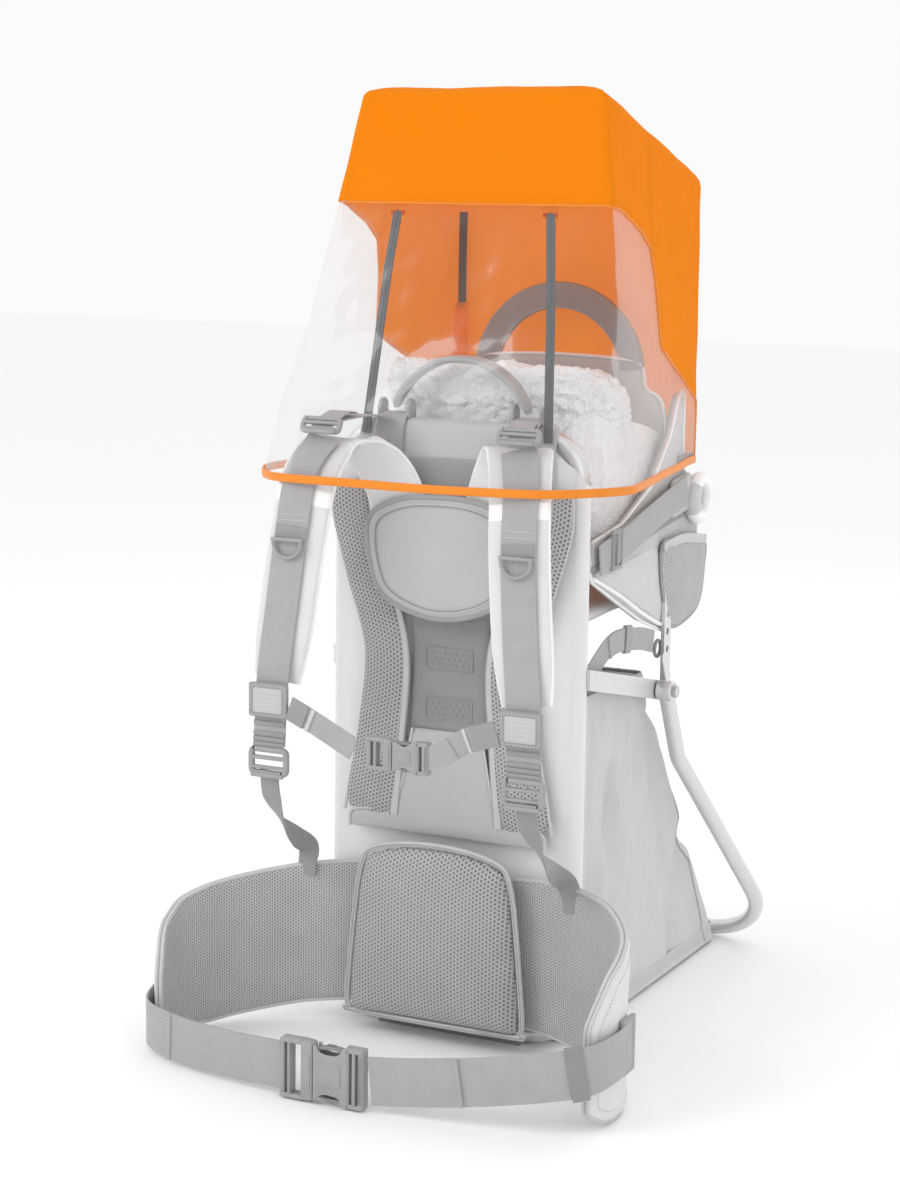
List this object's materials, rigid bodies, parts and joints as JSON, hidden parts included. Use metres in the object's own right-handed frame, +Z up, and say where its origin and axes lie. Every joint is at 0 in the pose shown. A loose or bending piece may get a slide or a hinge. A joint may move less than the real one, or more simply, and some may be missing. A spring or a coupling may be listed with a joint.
{
  "type": "child carrier backpack",
  "caption": "Framed child carrier backpack with padded harness and hip belt, folding kickstand, seat, storage bag and a rain hood with clear window.",
  "frame": {"origin": "middle of the flat underside of the base tube's rubber skid", "axes": "+Z up; +X across the carrier, to the right seen from the harness side; -Y towards the wearer's back"},
  "size_m": [0.5377, 0.7475, 1.008],
  "materials": {
    "frame_metal": "satin anodised tube and flat bar",
    "stand_metal": "satin grey anodised tube",
    "rubber": "matte moulded",
    "bolt_metal": "satin",
    "panel_fabric": "pale woven nylon",
    "dark_fabric": "dark grey woven nylon",
    "mesh_fabric": "grey air mesh over foam",
    "grey_fabric": "mid grey woven nylon",
    "pad_fabric": "pale grey padded nylon",
    "fleece": "fluffy white fleece",
    "webbing": "grey woven webbing",
    "buckle_plastic": "moulded acetal",
    "white_cord": "smooth white cord",
    "orange_fabric": "orange coated nylon",
    "clear_film": "clear soft film",
    "stay_strap": "dark grey stiffened strap"
  },
  "bodies": {
    "carrier": {"back_frame": "frame_metal", "base_frame": "frame_metal", "base_skid": "rubber", "side_bars": "frame_metal", "rear_uprights": "frame_metal", "pivot_bolts": "bolt_metal", "front_panel": "panel_fabric", "back_panel": "dark_fabric", "back_pads": "mesh_fabric", "lower_back_panel": "grey_fabric", "lumbar_pad": "mesh_fabric", "seat_cushion": "pad_fabric", "side_walls": "grey_fabric", "rear_wall": "grey_fabric", "headrest_arch": "pad_fabric", "fleece_collar": "fleece", "child_harness": "webbing", "child_buckle": "buckle_plastic", "mesh_pockets": "mesh_fabric", "side_straps": "webbing", "loop_rings": "white_cord", "foot_straps": "dark_fabric", "strap_rings": "buckle_plastic", "link_plates": "frame_metal", "storage_bag": "grey_fabric", "handle_anchors": "webbing", "load_lifters": "webbing", "lower_webbing": "webbing", "left_hip_wing": "grey_fabric", "right_hip_wing": "grey_fabric", "hip_webbing_left": "webbing", "hip_webbing_right": "webbing", "hip_buckle_socket": "buckle_plastic", "hood_pins": "buckle_plastic"},
    "kickstand": {"kickstand": "stand_metal", "stand_grips": "rubber"},
    "hood": {"rain_hood": "orange_fabric", "hood_window": "clear_film", "hood_hem": "orange_fabric", "hood_stays": "stay_strap"},
    "harness": {"yoke": "grey_fabric", "left_shoulder_pad": "pad_fabric", "right_shoulder_pad": "pad_fabric", "shoulder_webbing": "webbing", "lifter_buckles": "buckle_plastic", "ladder_locks": "buckle_plastic"},
    "left_ring": {"left_d_ring": "buckle_plastic"},
    "right_ring": {"right_d_ring": "buckle_plastic"},
    "chest_strap": {"sternum_sliders": "webbing", "chest_webbing_left": "webbing", "chest_webbing_right": "webbing", "chest_buckle_socket": "buckle_plastic"},
    "chest_plug": {"chest_buckle_plug": "buckle_plastic"},
    "chest_upper": {"chest_prong_upper": "buckle_plastic"},
    "chest_lower": {"chest_prong_lower": "buckle_plastic"},
    "hip_plug": {"hip_buckle_plug": "buckle_plastic"},
    "hip_upper": {"hip_prong_upper": "buckle_plastic"},
    "hip_lower": {"hip_prong_lower": "buckle_plastic"},
    "zip_pull": {"zip_slider": "buckle_plastic"},
    "handle": {"grab_handle": "webbing"}
  },
  "joints": [
    {"name": "kickstand_fold", "type": "hinge", "parent": "carrier", "child": "kickstand", "pos_m": [0, 0.195, 0.36], "axis": [-1, 0, 0], "range_deg": [0, 40], "deforming": ["storage_bag"]},
    {"name": "hood_tilt", "type": "hinge", "parent": "carrier", "child": "hood", "pos_m": [0, 0.288, 0.612], "axis": [-1, 0, 0], "range_deg": [0, 70]},
    {"name": "harness_height", "type": "slide", "parent": "carrier", "child": "harness", "axis": [0, 0, -1], "range_m": [0, 0.1], "deforming": ["load_lifters", "lower_webbing"]},
    {"name": "left_ring_swing", "type": "hinge", "parent": "harness", "child": "left_ring", "pos_m": [-0.1295, -0.143, 0.548], "axis": [-1, 0, 0], "range_deg": [0, 150]},
    {"name": "right_ring_swing", "type": "hinge", "parent": "harness", "child": "right_ring", "pos_m": [0.1295, -0.143, 0.548], "axis": [-1, 0, 0], "range_deg": [0, 150]},
    {"name": "chest_strap_height", "type": "slide", "parent": "harness", "child": "chest_strap", "axis": [0, 0, 1], "range_m": [0, 0.03]},
    {"name": "chest_buckle_release", "type": "slide", "parent": "chest_strap", "child": "chest_plug", "axis": [-1, 0, 0], "range_m": [0, 0.03], "deforming": ["chest_webbing_left"]},
    {"name": "chest_upper_press", "type": "slide", "parent": "chest_plug", "child": "chest_upper", "axis": [0, 0, -1], "range_m": [0, 0.003], "stiffness_N_per_m": 300},
    {"name": "chest_lower_press", "type": "slide", "parent": "chest_plug", "child": "chest_lower", "axis": [0, 0, 1], "range_m": [0, 0.003], "stiffness_N_per_m": 300},
    {"name": "hip_buckle_release", "type": "slide", "parent": "carrier", "child": "hip_plug", "axis": [-1, 0, 0], "range_m": [0, 0.04], "deforming": ["hip_webbing_left"]},
    {"name": "hip_upper_press", "type": "slide", "parent": "hip_plug", "child": "hip_upper", "axis": [0, 0, -1], "range_m": [0, 0.004], "stiffness_N_per_m": 400},
    {"name": "hip_lower_press", "type": "slide", "parent": "hip_plug", "child": "hip_lower", "axis": [0, 0, 1], "range_m": [0, 0.004], "stiffness_N_per_m": 400},
    {"name": "bag_zip", "type": "slide", "parent": "carrier", "child": "zip_pull", "axis": [0, -0.5727, 0.8197], "range_m": [0, 0.18]},
    {"name": "handle_fold", "type": "hinge", "parent": "carrier", "child": "handle", "pos_m": [0, 0, 0.676], "axis": [1, 0, 0], "range_deg": [0, 35]}
  ]
}
